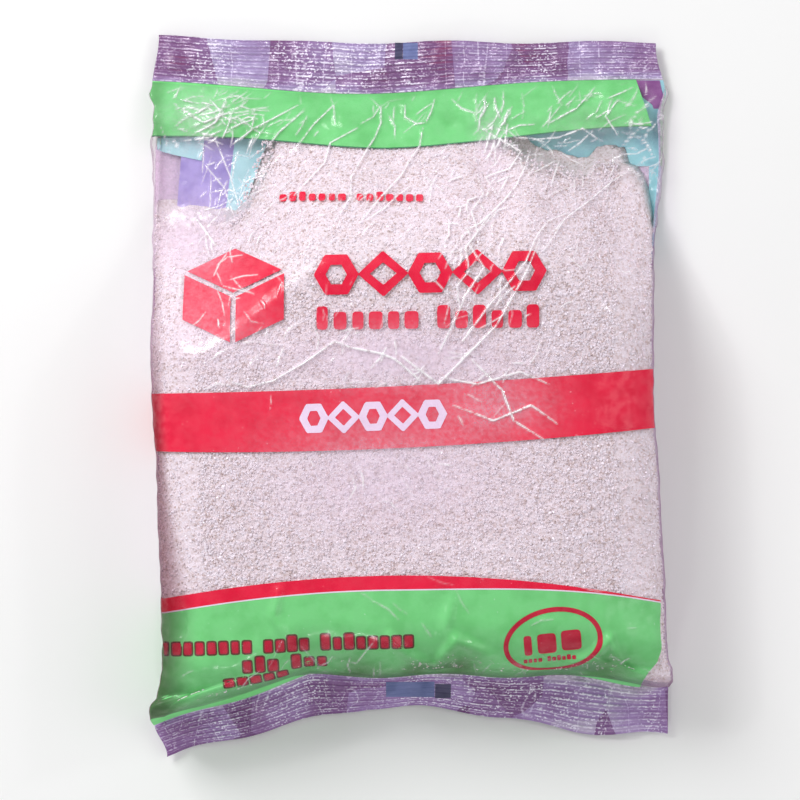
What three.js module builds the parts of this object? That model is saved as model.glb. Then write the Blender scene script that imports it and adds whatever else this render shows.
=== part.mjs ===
import * as THREE from 'three';

// A one-kilogram bag of sugar in clear film, lying on its back with its front up. The film is a
// gusseted tube, closed by a ribbed crimp seal at each end. The sugar fills it down to the bottom
// seal and leaves an empty head below the top seal. Film and sugar are one closed solid here.
// Millimetres. X runs across the bag, Y up its front, Z up from the surface it lies on.

// Seals, as seen from the front. A "root" is the line where a seal meets the filled body.
const SEAL_LENGTH = 14;             // mean length from root to free edge
const TOP_EDGE_Y = 119.4;           // free edge of the top seal
const TOP_ROOT_Y = 107;
const TOP_ROOT_SAG = 5;             // the root dips towards the sugar, left of the middle
const BOTTOM_EDGE_Y = -105;         // free edge of the bottom seal, at the middle
const BOTTOM_ROOT_Y = -93.6;
const LEFT_CORNER_DROP = 17;        // the bottom left corner hangs this much lower
const RIGHT_EDGE_DROP = 9;          // the bottom right free edge hangs this much lower
const RIGHT_ROOT_DROP = 4;

// Width. The bag is widest in its empty head and its seals, and drawn in where it is full.
const LEFT_HALF_WIDTH = 87.3;
const RIGHT_HALF_WIDTH = 86.7;
const LEFT_WAIST = 3.4;
const RIGHT_WAIST = 5.2;
const CORNER_TUCK = 4;              // free corners of the seals stand in by this much

// Thickness.
const FULL_HEIGHT = 47;             // over the sugar, at its thickest
const HEAD_HEIGHT = 7.5;            // in the empty head
const TOP_SEAL_Z = 3.2;             // middle plane of the top seal
const BOTTOM_ROOT_Z = 12.5;         // middle plane of the bottom seal, at its root
const BOTTOM_EDGE_Z = 2.2;          // and at its free edge
const SEAL_THICKNESS = 1;
const RIB_PITCH = 2;
const RIB_HEIGHT = 0.3;

// How the thickness runs out towards the ends and the sides.
const SUGAR_LINE_Y = 94;            // where the sugar ends under the film, at the middle
const LEFT_LINE_DROP = 29;          // it ends this much lower at the left side
const RIGHT_LINE_DROP = 22;
const SHOULDER_LENGTH = 54;         // from the sugar's end to full thickness
const HEAD_TAPER = 14;
const TOE_LENGTH = 21;              // the quick rounding above the bottom seal
const TOE_LIFT = 24;                // the underside lifts to the bottom seal over this length
const TOP_LIFT = 22;
const UPPER_ROUNDING = 3.5;         // exponent of the section's superellipse, upper half
const LOWER_ROUNDING = 4.6;
const SEAL_ROUNDING = 14;
const FLAT_SHARE = 0.965;           // the underside is cut flat past this share of its depth
const EDGE_SHARE = 0.46;            // the side's fold lies at this share of the height
const FOLD_DEPTH = 2.2;             // the gusset's fold, in the full part
const FOLD_DEPTH_AT_ENDS = 4.5;
const FOLD_REACH = 34;
const LUMP_HEIGHT = 0.9;            // the sugar's soft unevenness under the film

// Mesh. Each seal has two rows of facets to a rib.
const COLUMNS = 28;
const SIDE_ROWS = 6;
const SEAL_ROWS = 2 * Math.round(SEAL_LENGTH / RIB_PITCH);
const BODY_ROWS = 26;
const ROWS = 2 * SEAL_ROWS + BODY_ROWS;

const ramp = (t) => THREE.MathUtils.smoothstep(t, 0, 1);
const mix = (from, to, share) => THREE.MathUtils.lerp(from, to, share);
const bell = (x, centre, width) => Math.exp(-(((x - centre) / width) ** 2));

// A quarter of an ellipse: rises steeply from 0, then levels out at 1.
function roundOff(t) {
  const inner = 1 - THREE.MathUtils.clamp(t, 0, 1);
  return Math.sqrt(1 - inner * inner);
}

// The four lines across the bag, from the top edge down, as Y at each X.
function topEdge(x) {
  return TOP_EDGE_Y + 2 * ramp((-x - 35) / 45) + 0.5 * Math.sin(x / 8);
}

function topRoot(x) {
  return TOP_ROOT_Y - TOP_ROOT_SAG * bell(x, -18, 48);
}

function bottomRoot(x) {
  const left = Math.max(0, -x - 34) / 52;
  return BOTTOM_ROOT_Y - LEFT_CORNER_DROP * left - RIGHT_ROOT_DROP * ramp((x - 42) / 45)
    + 0.7 * Math.sin(x / 7);
}

function bottomEdge(x) {
  const left = Math.max(0, -x - 14) / 70;
  return BOTTOM_EDGE_Y - LEFT_CORNER_DROP * left ** 1.15 - RIGHT_EDGE_DROP * ramp((x - 2) / 70)
    + 0.8 * Math.sin(x / 6 + 1);
}

// The bag's outline to the left (side -1) and to the right (side 1), as half a width at each Y.
function halfWidth(side, y) {
  if (side < 0) {
    return LEFT_HALF_WIDTH - LEFT_WAIST * ramp((30 - y) / 107) + 2.2 * ramp((-82 - y) / 24)
      - CORNER_TUCK * ramp((-110 - y) / 11) - 0.6 * CORNER_TUCK * ramp((y - 103) / 18);
  }
  return RIGHT_HALF_WIDTH - RIGHT_WAIST * (ramp((95 - y) / 68) - ramp((12 - y) / 108))
    - CORNER_TUCK * ramp((y - 99) / 18);
}

// The sugar's upper end, which slopes down to both sides of the bag.
function sugarLine(x) {
  return SUGAR_LINE_Y - LEFT_LINE_DROP * ramp((-x - 24) / 52) - RIGHT_LINE_DROP * ramp((x - 34) / 52);
}

// The height of the bottom seal's middle plane: the corners lie lower than the middle.
function bottomSealHeight(x, share) {
  const root = BOTTOM_ROOT_Z - 4 * ramp((-x - 30) / 55) - 7 * ramp((x - 20) / 65);
  return mix(root, BOTTOM_EDGE_Z, share) + 0.5 * Math.sin(x / 5) * share;
}

function topSealHeight(x, share) {
  return TOP_SEAL_Z + 0.8 * Math.sin(x / 13) * share;
}

// The underside and the upper side of the filled body.
function lowerSide(x, y) {
  const bottomEnd = bottomSealHeight(x, 0) - SEAL_THICKNESS / 2;
  const topEnd = topSealHeight(x, 0) - SEAL_THICKNESS / 2;
  const bottomLift = bottomEnd * (1 - ramp((y - bottomRoot(x)) / TOE_LIFT));
  const topLift = topEnd * (1 - ramp((topRoot(x) - y) / TOP_LIFT));
  return bottomLift + topLift;
}

function upperSide(x, y) {
  const lumps = LUMP_HEIGHT * Math.sin(x / 19 + 1.1) * Math.sin(y / 23 - 0.4);
  const filled = mix(HEAD_HEIGHT, FULL_HEIGHT + lumps, ramp((sugarLine(x) - y) / SHOULDER_LENGTH));
  const topEnd = topSealHeight(x, 0) + SEAL_THICKNESS / 2;
  const bottomEnd = bottomSealHeight(x, 0) + SEAL_THICKNESS / 2;
  const headed = mix(topEnd, filled, ramp((topRoot(x) - y) / HEAD_TAPER));
  return mix(bottomEnd, headed, roundOff((y - bottomRoot(x)) / TOE_LENGTH));
}

// A point of a square, moved so that the square's edge becomes a superellipse of this exponent.
function roundedSquare(across, up, exponent) {
  const reach = Math.max(Math.abs(across), Math.abs(up));
  if (reach === 0) {
    return [0, 0];
  }
  const size = (Math.abs(across) ** exponent + Math.abs(up) ** exponent) ** (1 / exponent);
  return [across * reach / size, up * reach / size];
}

// The place along the bag of one row of vertices, 0 at the bottom edge and ROWS at the top edge.
function rowPlace(row, x) {
  if (row <= SEAL_ROWS) {
    const share = 1 - row / SEAL_ROWS;
    return { part: 'bottom', share, y: mix(bottomRoot(x), bottomEdge(x), share) };
  }
  if (row >= SEAL_ROWS + BODY_ROWS) {
    const share = (row - SEAL_ROWS - BODY_ROWS) / SEAL_ROWS;
    return { part: 'top', share, y: mix(topRoot(x), topEdge(x), share) };
  }
  const t = (row - SEAL_ROWS) / BODY_ROWS;
  const spread = t - 0.09 * Math.sin(2 * Math.PI * t);
  return { part: 'body', share: 0, y: mix(bottomRoot(x), topRoot(x), spread) };
}

// Moves one vertex of the box, given by its place from -1 to 1 across and up and by its row.
function shapePoint(across, row, up) {
  const side = Math.sign(across);
  const guide = rowPlace(row, across * RIGHT_HALF_WIDTH).y;
  const x = across * halfWidth(side, guide);
  const place = rowPlace(row, x);
  if (place.part !== 'body') {
    const [wide, high] = roundedSquare(across, up, SEAL_ROUNDING);
    const rib = place.share > 0 ? RIB_HEIGHT * (row % 2 === 0 ? 1 : -1) : 0;
    const sealHeight = place.part === 'top' ? topSealHeight : bottomSealHeight;
    const z = sealHeight(x, place.share) + rib + high * SEAL_THICKNESS / 2;
    return [wide * halfWidth(side, place.y), place.y, z];
  }
  const toEnd = Math.min(place.y - bottomRoot(x), topRoot(x) - place.y);
  const full = ramp(toEnd / 9);
  const exponent = mix(SEAL_ROUNDING, up > 0 ? UPPER_ROUNDING : LOWER_ROUNDING, full);
  const [wide, high] = roundedSquare(across, up, exponent);
  const upper = upperSide(x, place.y);
  const lower = lowerSide(x, place.y);
  const middle = mix(lower, upper, EDGE_SHARE);
  const down = Math.min(1, -high / FLAT_SHARE);
  const fold = mix(FOLD_DEPTH_AT_ENDS, FOLD_DEPTH, ramp(toEnd / FOLD_REACH)) * ramp(toEnd / 14);
  const foldShare = Math.max(0, Math.abs(wide) - 0.8) / 0.2;
  const inward = fold * foldShare * (1 - Math.abs(high)) ** 2;
  const z = high >= 0 ? mix(middle, upper, high) : mix(middle, lower, down);
  return [wide * halfWidth(side, place.y) - side * inward, place.y, z];
}

function makeBagGeometry() {
  const geometry = new THREE.BoxGeometry(2, ROWS, 2, COLUMNS, ROWS, SIDE_ROWS);
  const position = geometry.attributes.position;
  for (let i = 0; i < position.count; i += 1) {
    const row = Math.round(position.getY(i) + ROWS / 2);
    position.setXYZ(i, ...shapePoint(position.getX(i), row, position.getZ(i)));
  }
  geometry.computeBoundingBox();
  const box = geometry.boundingBox;
  geometry.translate(-(box.min.x + box.max.x) / 2, -(box.min.y + box.max.y) / 2, -box.min.z);
  geometry.computeVertexNormals();
  return geometry;
}

const film = new THREE.MeshStandardMaterial({ color: 0xe2d2da, roughness: 0.25, metalness: 0 });
const bag = new THREE.Mesh(makeBagGeometry(), film);
bag.name = 'sugar_bag';

const group = new THREE.Group();
group.add(bag);

export default group;
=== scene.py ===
# A one-kilogram bag of sugar in clear film, lying on its back with its front up. The film is a
# gusseted tube with a ribbed crimp seal at each end. The print lies just inside the film, and the
# sugar is a core with a grainy relief and loose crystals on it.
# Shapes are worked out in millimetres, in the CAD model's axes, and placed in metres.

import math
from types import SimpleNamespace

import bpy
import numpy as np
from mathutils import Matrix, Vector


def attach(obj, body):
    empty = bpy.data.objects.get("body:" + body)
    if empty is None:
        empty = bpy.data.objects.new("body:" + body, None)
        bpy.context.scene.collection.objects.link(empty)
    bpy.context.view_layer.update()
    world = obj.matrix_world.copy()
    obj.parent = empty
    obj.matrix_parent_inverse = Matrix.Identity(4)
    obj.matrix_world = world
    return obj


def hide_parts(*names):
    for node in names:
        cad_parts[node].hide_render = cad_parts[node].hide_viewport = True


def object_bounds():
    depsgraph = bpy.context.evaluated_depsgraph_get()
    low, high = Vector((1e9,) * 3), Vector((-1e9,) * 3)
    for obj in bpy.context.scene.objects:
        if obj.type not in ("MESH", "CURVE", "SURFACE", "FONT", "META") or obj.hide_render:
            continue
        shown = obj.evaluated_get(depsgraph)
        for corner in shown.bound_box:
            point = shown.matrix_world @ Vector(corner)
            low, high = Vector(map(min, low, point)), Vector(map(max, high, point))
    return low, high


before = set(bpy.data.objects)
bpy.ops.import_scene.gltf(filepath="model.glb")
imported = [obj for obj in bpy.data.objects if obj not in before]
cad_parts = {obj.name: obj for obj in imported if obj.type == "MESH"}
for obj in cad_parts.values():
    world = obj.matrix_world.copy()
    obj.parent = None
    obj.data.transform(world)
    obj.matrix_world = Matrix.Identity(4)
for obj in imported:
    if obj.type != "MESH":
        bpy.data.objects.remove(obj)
cad_low, cad_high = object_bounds()

MM = 0.001
SEED = 2026
TINY = 1e-9              # keeps divisions clear of zero

# ---- the bag's sizes, as in CAD
TOP_EDGE_Y = 119.4
TOP_ROOT_Y = 107.0
TOP_ROOT_SAG = 5.0
BOTTOM_EDGE_Y = -105.0
BOTTOM_ROOT_Y = -93.6
LEFT_CORNER_DROP = 17.0
RIGHT_EDGE_DROP = 9.0
RIGHT_ROOT_DROP = 4.0
LEFT_HALF_WIDTH = 87.3
RIGHT_HALF_WIDTH = 86.7
LEFT_WAIST = 3.4
RIGHT_WAIST = 5.2
CORNER_TUCK = 4.0
FULL_HEIGHT = 47.0
HEAD_HEIGHT = 7.5
TOP_SEAL_Z = 3.2
BOTTOM_ROOT_Z = 12.5
BOTTOM_EDGE_Z = 2.2
RIB_PITCH = 2.0
SUGAR_LINE_Y = 94.0
LEFT_LINE_DROP = 29.0
RIGHT_LINE_DROP = 22.0
SHOULDER_LENGTH = 54.0
HEAD_TAPER = 14.0
TOE_LENGTH = 21.0
TOE_LIFT = 24.0
TOP_LIFT = 22.0
UPPER_ROUNDING = 3.5
LOWER_ROUNDING = 4.6
SEAL_ROUNDING = 14.0
FLAT_SHARE = 0.965
EDGE_SHARE = 0.46
FOLD_DEPTH = 2.2
FOLD_DEPTH_AT_ENDS = 4.5
FOLD_REACH = 34.0
LUMP_HEIGHT = 0.9

# How the film's section changes near the seals and the side folds.
ROOT_HALF_HEIGHT = 0.1   # half the filled body's height where it meets a seal
END_LENGTH = 9.0         # the section turns from a seal's outline to the body's over this length
FOLD_START = 14.0        # the side folds deepen from nothing over this length
FOLD_BAND = 0.2          # share of the half width that a side fold draws in
SIDE_SHARE = 0.13        # share of the way from the middle to a fold that runs down the side
LAYER_START = 2.5        # layers inside the film part from it over this length from a seal

# ---- layers through the film
FILM_THICKNESS = 0.12
INK_DEPTH = 0.08         # the print lies this far inside the film
INK_STEP = 0.05          # and each layer of it this far under the one before
BACK_OUTSIDE = 0.10      # the back's layers lie this far above the back film
BACK_INSIDE = 0.22
BACK_STRIPS = 0.34
GRAIN_DEPTH = 0.95       # the crystals' middles lie this far inside the film, or further
CORE_DEPTH = 1.2
PRINT_RIGHT_END = 82.0   # the print stops here, and leaves a clear strip down the right side
LAST_PLACE = 0.985       # section place just short of a side fold, where print and sugar end


# ---- small maths
def ramp(t):
    t = np.clip(t, 0.0, 1.0)
    return t * t * (3 - 2 * t)


def mix(a, b, share):
    return a + (b - a) * share


def bell(x, centre, width):
    return np.exp(-(((x - centre) / width) ** 2))


def round_off(t):
    inner = 1 - np.clip(t, 0.0, 1.0)
    return np.sqrt(np.maximum(0.0, 1 - inner * inner))


# ---- the bag's form, as in CAD
def top_edge(x):
    return TOP_EDGE_Y + 2 * ramp((-x - 35) / 45) + 0.5 * np.sin(x / 8)


def top_root(x):
    return TOP_ROOT_Y - TOP_ROOT_SAG * bell(x, -18, 48)


def bottom_root(x):
    left = np.maximum(0, -x - 34) / 52
    right = RIGHT_ROOT_DROP * ramp((x - 42) / 45)
    return BOTTOM_ROOT_Y - LEFT_CORNER_DROP * left - right + 0.7 * np.sin(x / 7)


def bottom_edge(x):
    left = np.maximum(0, -x - 14) / 70
    right = RIGHT_EDGE_DROP * ramp((x - 2) / 70)
    return BOTTOM_EDGE_Y - LEFT_CORNER_DROP * left**1.15 - right + 0.8 * np.sin(x / 6 + 1)


def half_width(side, y):
    left = LEFT_HALF_WIDTH - LEFT_WAIST * ramp((30 - y) / 107) + 2.2 * ramp((-82 - y) / 24)
    left = left - CORNER_TUCK * ramp((-110 - y) / 11) - 0.6 * CORNER_TUCK * ramp((y - 103) / 18)
    right = RIGHT_HALF_WIDTH - RIGHT_WAIST * (ramp((95 - y) / 68) - ramp((12 - y) / 108))
    right = right - CORNER_TUCK * ramp((y - 99) / 18)
    return np.where(side < 0, left, right)


def film_line(x):
    drop = LEFT_LINE_DROP * ramp((-x - 24) / 52) + RIGHT_LINE_DROP * ramp((x - 34) / 52)
    return SUGAR_LINE_Y - drop


def bottom_seal_height(x, share):
    root = BOTTOM_ROOT_Z - 4 * ramp((-x - 30) / 55) - 7 * ramp((x - 20) / 65)
    return mix(root, BOTTOM_EDGE_Z, share) + 0.5 * np.sin(x / 5) * share


def top_seal_height(x, share):
    return TOP_SEAL_Z + 0.8 * np.sin(x / 13) * share


def lower_side(x, y):
    bottom = bottom_seal_height(x, 0) - ROOT_HALF_HEIGHT
    top = top_seal_height(x, 0) - ROOT_HALF_HEIGHT
    bottom = bottom * (1 - ramp((y - bottom_root(x)) / TOE_LIFT))
    return bottom + top * (1 - ramp((top_root(x) - y) / TOP_LIFT))


def upper_side(x, y):
    lumps = LUMP_HEIGHT * np.sin(x / 19 + 1.1) * np.sin(y / 23 - 0.4)
    filled = mix(HEAD_HEIGHT, FULL_HEIGHT + lumps, ramp((film_line(x) - y) / SHOULDER_LENGTH))
    top = top_seal_height(x, 0) + ROOT_HALF_HEIGHT
    bottom = bottom_seal_height(x, 0) + ROOT_HALF_HEIGHT
    headed = mix(top, filled, ramp((top_root(x) - y) / HEAD_TAPER))
    return mix(bottom, headed, round_off((y - bottom_root(x)) / TOE_LENGTH))


# The sugar's upper end, seen through the film: steep at the left, ragged at the right.
SUGAR_END = (
    (-90, 60), (-80, 62), (-59, 61), (-54, 66), (-49, 76), (-44, 91), (22, 92),
    (30, 86), (38, 80), (47, 78), (57, 75), (63, 80), (73, 80), (78, 72), (81, 56), (90, 44),
)


def sugar_end(x):
    across, height = zip(*SUGAR_END)
    ragged = 0.9 * np.sin(x / 1.7) + 0.7 * np.sin(x / 0.9 + 2) + 0.8 * np.sin(x / 4.1)
    return np.interp(x, across, height) + 0.4 * ragged


# ---- creases in the film
CREASE_WIDTH = 0.44
FAR_AWAY = 9.0           # in widths of a crease or dent, where it has faded to nothing

# Each crease runs through a few listed places: (height, ((x, y), ...)).
CREASES = (
    (0.50, ((-38, 98), (-47, 93), (-53, 90), (-61, 84))),
    (0.45, ((-36, 96), (-44, 89), (-49, 83))),
    (0.35, ((-25, 99), (-33, 91), (-38, 84))),
    (0.60, ((-18, 90), (-27, 85), (-29, 78), (-39, 67))),
    (0.60, ((-14, 101), (-10, 97), (-10, 92), (-12, 87), (-15, 82), (-20, 73), (-20, 66),
            (-25, 58))),
    (0.55, ((-2, 98), (-2, 94), (2, 91.5), (5, 92), (7, 96), (8, 100))),
    (0.55, ((4, 90), (3, 84), (-1, 78), (-3, 74), (-10, 66), (-17, 57))),
    (0.35, ((14, 100), (17, 97), (22, 95))),
    (0.35, ((0, 70), (-4, 67), (-9, 62), (-15, 58))),
    (0.30, ((5, 73), (11, 68))),
    (0.55, ((24, 90), (37, 82), (33, 76), (27, 74), (25, 73), (29, 66))),
    (0.45, ((33, 74), (29, 67))),
    (0.50, ((40, 82), (38, 76), (35, 70), (31, 65), (26, 60), (21, 53))),
    (0.45, ((50, 79), (47, 70))),
    (0.60, ((76, 77), (68, 72), (60, 65), (52, 59), (48, 53), (43, 46))),
    (0.55, ((53, 61), (46, 58), (42, 53), (38, 44), (33, 38), (26, 30), (17, 18))),
    (0.40, ((28, 61), (23, 55), (19, 50), (24, 42), (18, 33), (13, 22), (9, 14))),
    (0.30, ((53, 46), (58, 42))),
    (0.40, ((73, 77), (79, 74))),
    (0.40, ((40, 86), (50, 87), (58, 90), (64, 86))),
    (0.55, ((-66, 86), (-61, 74), (-58, 64))),
    (0.55, ((-70, 78), (-63, 70), (-60, 61))),
    (0.40, ((-73, 60), (-66, 50))),
    (0.40, ((-80, 98), (-70, 92), (-60, 96))),
    (0.45, ((-62, 100), (-66, 92), (-74, 88))),
    (0.45, ((62, 104), (56, 97), (47, 92))),
    (0.45, ((70, 100), (66, 94), (70, 88))),
    (0.70, ((-62, 5), (-55, 3), (-46, 5), (-35, 11), (-25, 18))),
    (0.70, ((-25, 18), (-20, 16), (-10, 14), (-5, 12), (3, 5))),
    (0.60, ((-3, 13), (9, 4), (18, 13), (28, 23), (38, 40), (43, 52))),
    (0.60, ((22, 74), (24, 67), (20, 61), (22, 54), (18, 49), (19, 41), (15, 36), (16, 29))),
    (0.45, ((10, 6), (22, 4), (36, 8), (46, 4))),
    (0.45, ((14, -3), (27, -8), (40, -3), (49, -9))),
    (0.40, ((20, 12), (30, 2), (34, -8), (44, -14))),
)

# Wide ridges and dents in the same way: (height, width, ((x, y), ...)).
DENTS = (
    (-1.8, 3.5, ((-81, -70), (-82, -80))),
    (3.0, 2.0, ((-7, -79), (0, -86), (8, -89), (15, -80), (26, -85))),
    (-5.2, 3.0, ((2, -92), (10, -93), (20, -89))),
    (1.2, 2.0, ((13, -68), (11, -76), (14, -82))),
    (2.6, 1.9, ((40, -92), (52, -89), (62, -85), (68, -80), (72, -88))),
    (-4.6, 2.6, ((42, -95), (56, -93), (66, -90))),
    (1.5, 1.7, ((-84, -107), (-70, -99), (-56, -95.5), (-38, -91))),
    (-3.2, 2.8, ((-66, -102), (-50, -98), (-38, -94))),
    (1.3, 1.8, ((-44, -64), (-46, -72), (-40, -80))),
    (-2.4, 3.2, ((-16, -84), (-22, -88), (-32, -88))),
    (1.2, 1.8, ((-84, -64), (-79, -72), (-80, -82))),
    (-1.0, 5.0, ((-2, 100), (-6, 88))),
    (-0.9, 4.0, ((16, 100), (13, 88))),
    (0.9, 5.0, ((-32, 98), (-44, 84))),
    (-0.9, 4.5, ((34, 96), (46, 86))),
    (-0.8, 6.0, ((26, 10), (40, -12))),
)


def line_profile(x, y, width, points):
    """Each place's distance from a line through these points, in widths, and the line's strength."""
    away = np.full_like(x, FAR_AWAY)
    fade = np.zeros_like(x)
    reach = 3 * width
    corners = np.array(points, dtype=float)
    near = (x > corners[:, 0].min() - reach) & (x < corners[:, 0].max() + reach)
    near &= (y > corners[:, 1].min() - reach) & (y < corners[:, 1].max() + reach)
    if not near.any():
        return away, fade
    px, py = x[near], y[near]
    least = np.full_like(px, FAR_AWAY)
    share = np.zeros_like(px)
    lengths = np.hypot(*np.diff(corners, axis=0).T)
    done = 0.0
    for (ax, ay), (bx, by), length in zip(corners[:-1], corners[1:], lengths):
        t = np.clip(((px - ax) * (bx - ax) + (py - ay) * (by - ay)) / length**2, 0, 1)
        gap = np.hypot(px - ax - t * (bx - ax), py - ay - t * (by - ay)) / width
        share = np.where(gap < least, (done + t * length) / lengths.sum(), share)
        least = np.minimum(least, gap)
        done += length
    away[near] = least
    fade[near] = 0.35 + 0.65 * np.sqrt(np.sin(np.pi * np.clip(share, 0.02, 0.98)))
    return away, fade


def folds(a, y, seed, count, short, long, height):
    """Flat facets between straight creases, from triangle waves that run every way."""
    rng = np.random.default_rng(seed)
    total = np.zeros_like(a)
    for _ in range(count):
        angle = rng.uniform(0, math.pi)
        length = rng.uniform(short, long)
        bend = 2.5 * np.sin(a / rng.uniform(14, 30) + rng.uniform(0, 6))
        bend = bend + 2.5 * np.sin(y / rng.uniform(14, 30) + rng.uniform(0, 6))
        wave = (a * math.cos(angle) + y * math.sin(angle) + bend) / length + rng.uniform(0, 1)
        total += height * length / long * np.abs(2 * (wave - np.floor(wave)) - 1)
    return total / math.sqrt(count)


# Where small creases crowd: (how many, left, right, low, high, lean, spread of the lean, height).
CREASE_CROWDS = (
    (110, -84, 82, 62, 106, 1.0, 0.5, 0.26),
    (55, -82, -56, 85, 104, 0.25, 0.45, 0.36),
    (28, 21, 33, 76, 96, 1.2, 0.6, 0.42),
    (45, 36, 84, 72, 102, 0.6, 0.9, 0.34),
    (22, -72, -52, 62, 86, 0.9, 0.6, 0.36),
    (110, -84, 82, 0, 62, 0.9, 0.5, 0.24),
    (26, 10, 30, 28, 72, 1.2, 0.6, 0.40),
    (14, -72, -44, 18, 60, 2.2, 0.7, 0.36),
    (35, -84, 82, -80, 0, 0.8, 1.2, 0.20),
    (30, -84, 82, -97, -84, 0.3, 1.4, 0.20),
)


def short_creases(rng):
    """Small creases, each of two straight stretches, scattered within each crowd's box."""
    made = []
    for count, left, right, low, high, lean, spread, height in CREASE_CROWDS:
        for _ in range(count):
            x, y = rng.uniform(left, right), rng.uniform(low, high)
            angle = rng.normal(lean, spread)
            length = rng.uniform(1.0, 5.5)
            turn = angle + rng.normal(0, 0.4)
            middle = (x + length * math.cos(angle), y + length * math.sin(angle))
            end = (middle[0] + length * math.cos(turn), middle[1] + length * math.sin(turn))
            made.append((height * rng.uniform(0.4, 1.2), ((x, y), middle, end)))
    return made


SHORT_CREASES = short_creases(np.random.default_rng(SEED))


def crinkle(a, y):
    """How far the film stands out from its plain form, and how sharply it is creased, 0 to 1."""
    # The film is tight over the sugar, and looser over the empty head, the foot and the sides.
    tight = 0.16
    head = ramp((y - 40) / 35)
    toe = ramp((-76 - y) / 12)
    side = ramp((np.abs(a) - 84) / 6)
    loose = tight + (1 - tight) * np.maximum(head, 0.45 * toe) + 0.3 * side
    out = loose * (folds(a, y, SEED + 1, 7, 16, 40, 2.4) - 1.6)
    out += loose * (folds(a, y, SEED + 2, 6, 5, 12, 0.9) - 0.6)
    sharp = np.zeros_like(a)
    for height, points in (*CREASES, *SHORT_CREASES):
        away, fade = line_profile(a, y, CREASE_WIDTH, points)
        out += height * fade * np.exp(-(away**2))
        sharp = np.maximum(sharp, min(1.2, 3 * height) * fade * np.exp(-((1.9 * away) ** 2)))
    for height, width, points in DENTS:
        away, fade = line_profile(a, y, width, points)
        out += height * fade * np.exp(-(away**2))
    hold = ramp((top_root(a) - y) / 5) * ramp((y - bottom_root(a)) / 3)
    return out * hold, sharp * hold


# Places where the film is milky, with a painted sheen of light in the same patches: (x, y, half width, half
# height, share).
MILK_AND_SHEEN_PATCHES = (
    (28, -3, 18, 9, 0.24), (27, 86, 5, 11, 0.26), (-71, 95, 11, 8, 0.22), (62, 90, 18, 8, 0.10),
    (-8, -26, 36, 18, 0.32), (-4, 13, 34, 9, 0.42), (-74, 54, 14, 12, 0.40), (-68, 22, 20, 16, 0.16),
    (14, 62, 20, 8, 0.06), (-73, 85, 9, 4, 0.10),
)

# Places above the bottom seal where painted shade darkens the gathered film, in the same terms.
FOOT_PAINTED_SHADE = (
    (16, -89, 6, 5, 0.55), (1, -91, 5, 4, 0.45), (65, -90, 8, 5, 0.50), (-17, -90, 7, 5, 0.45),
)


def patches(x, y, places):
    """Soft patches, added up."""
    total = 0.0
    for across, up, wide, high, share in places:
        total = total + share * bell(x, across, wide) * bell(y, up, high)
    return total


def painted_fold_shade(x, y):
    """How much painted shade the film lays over what lies behind it: along the left fold, where it also
    stands for the folded side's extra layers of film, and above the bottom seal.
    """
    reach = 4.5 + 9 * ramp((-20 - y) / 65)
    from_fold = x + half_width(-1, y) - 1.5
    side = (0.3 + 0.65 * ramp((50 - y) / 80)) * ramp(1 - from_fold / reach)
    foot = 0.35 * ramp(1 - (y - bottom_root(x)) / 6) + patches(x, y, FOOT_PAINTED_SHADE)
    return np.maximum(side, np.minimum(foot, 0.8))


# ---- points on the film
def outline(t, exponent):
    """Place on a section's outline, from the left fold (-1) over the middle to the right fold (1)."""
    top_share = 1 - SIDE_SHARE
    reach = np.abs(t)
    over = reach > top_share
    across = np.where(over, 1.0, reach / top_share) * np.sign(t)
    up = np.where(over, 1 - (reach - top_share) / SIDE_SHARE, 1.0)
    size = (np.abs(across) ** exponent + up**exponent) ** (1 / exponent)
    return across / size, up / size


def to_nearest_root(x, y):
    """The distance along the bag to the nearer seal's root."""
    return np.minimum(y - bottom_root(x), top_root(x) - y)


def section(t, y, rounding):
    """What the front and back films share at section place t and height y."""
    side = np.sign(t)
    full = ramp(to_nearest_root(t * RIGHT_HALF_WIDTH, y) / END_LENGTH)
    exponent = mix(SEAL_ROUNDING, rounding, full)
    wide, high = outline(t, exponent)
    x = wide * half_width(side, y)
    to_end = to_nearest_root(x, y)
    upper = upper_side(x, y)
    lower = lower_side(x, y)
    fold = mix(FOLD_DEPTH_AT_ENDS, FOLD_DEPTH, ramp(to_end / FOLD_REACH))
    fold = fold * ramp(to_end / FOLD_START) * (1 - high) ** 2
    inward = side * fold * np.maximum(0, np.abs(wide) - (1 - FOLD_BAND)) / FOLD_BAND
    return SimpleNamespace(
        side=side, exponent=exponent, wide=wide, high=high, widest_x=x, x=x - inward,
        to_end=to_end, upper=upper, lower=lower, middle=mix(lower, upper, EDGE_SHARE),
    )


def front_point(t, y, depth, crinkled=True):
    """A point of the front film, this far inside it, and how sharply the film is creased there."""
    at = section(t, y, UPPER_ROUNDING)
    # The outward direction of the section's superellipse.
    lean_x = at.side * np.abs(at.wide) ** (at.exponent - 1) / half_width(at.side, y)
    lean_z = at.high ** (at.exponent - 1) / np.maximum(at.upper - at.middle, 0.3)
    size = np.hypot(lean_x, lean_z) + TINY
    out = -depth * ramp(at.to_end / LAYER_START)
    sharp = np.zeros_like(at.x)
    if crinkled:
        around = at.widest_x + at.side * (1 - at.high) * (at.upper - at.middle)
        bump, sharp = crinkle(around, y)
        out = out + bump * ramp(at.to_end / 3)
    z = mix(at.middle, at.upper, at.high) + out * lean_z / size
    return np.stack([at.x + out * lean_x / size, y, z], axis=-1), sharp


def front_x(t, y, depth):
    """How far across the bag a point inside the front film lies, creases left out."""
    return front_point(t, y, depth, crinkled=False)[0][..., 0]


def back_point(t, y, depth):
    """A point of the back film, from the left fold (-1) under the bag to the right fold (1)."""
    at = section(t, y, LOWER_ROUNDING)
    lift = depth * ramp(at.to_end / LAYER_START)
    z = mix(at.middle, at.lower, np.minimum(1, at.high / FLAT_SHARE)) + lift * at.high
    return np.stack([at.x - at.side * lift * (1 - at.high), y, z], axis=-1)


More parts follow.
